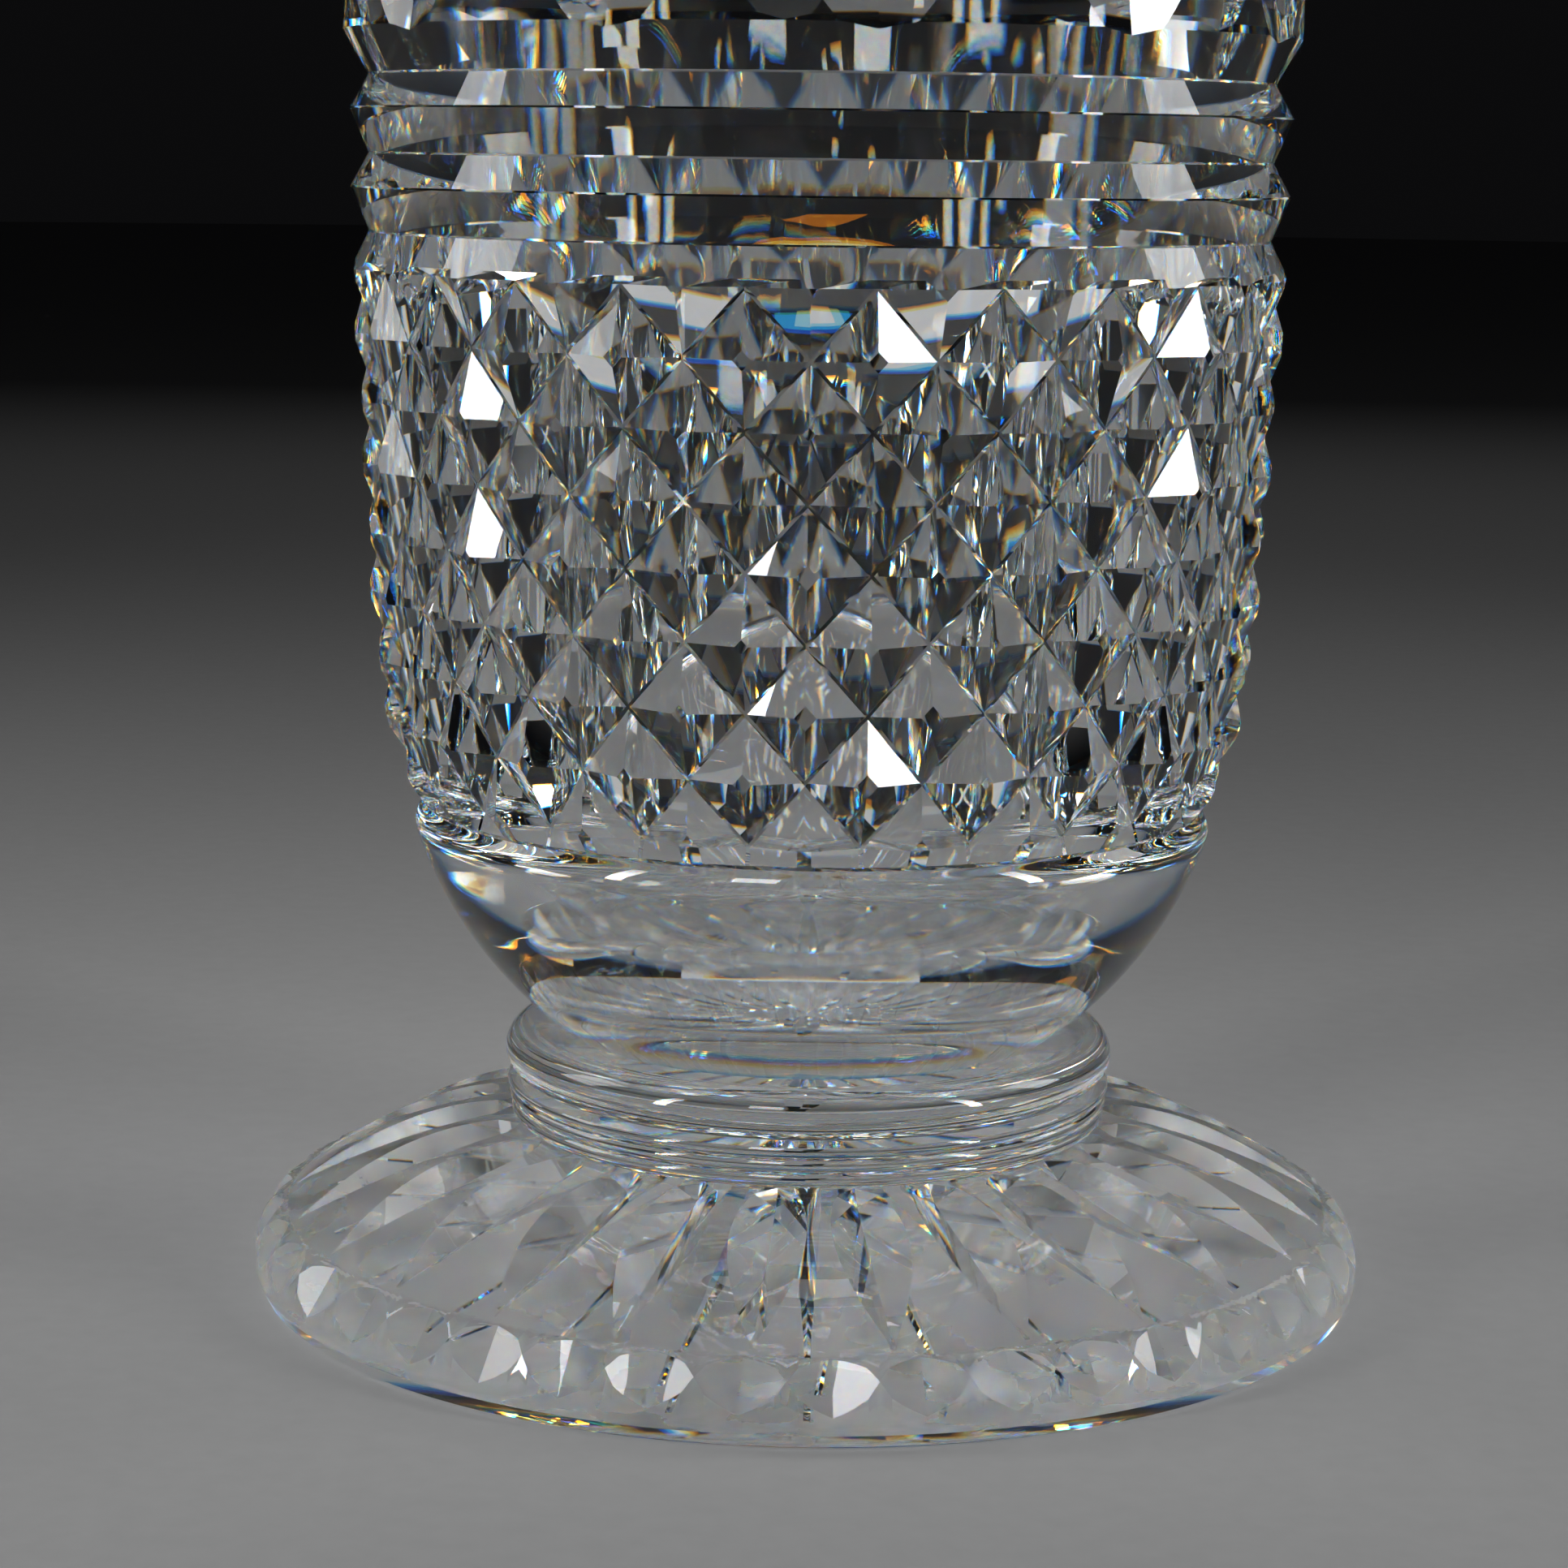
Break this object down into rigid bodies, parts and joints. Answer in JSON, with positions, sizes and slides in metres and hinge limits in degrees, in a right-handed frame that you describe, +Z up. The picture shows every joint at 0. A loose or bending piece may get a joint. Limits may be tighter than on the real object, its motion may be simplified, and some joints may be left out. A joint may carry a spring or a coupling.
{
  "type": "cut crystal vase",
  "caption": "Footed cut crystal vase: a hollow diamond-cut body with sharp rings and a lobed rim, on a reeded knop and a fluted, star-cut round foot.",
  "frame": {"origin": "centre of the foot's resting face, on the surface the vase stands on", "axes": "+Z up along the vase's axis, -Y towards the front"},
  "size_m": [0.1452, 0.1452, 0.2504],
  "materials": {
    "foot_crystal": "polished cut lead crystal",
    "knop_crystal": "polished lead crystal",
    "body_crystal": "polished cut lead crystal"
  },
  "bodies": {
    "root": {"foot": "foot_crystal", "knop": "knop_crystal", "body": "body_crystal"}
  },
  "joints": []
}
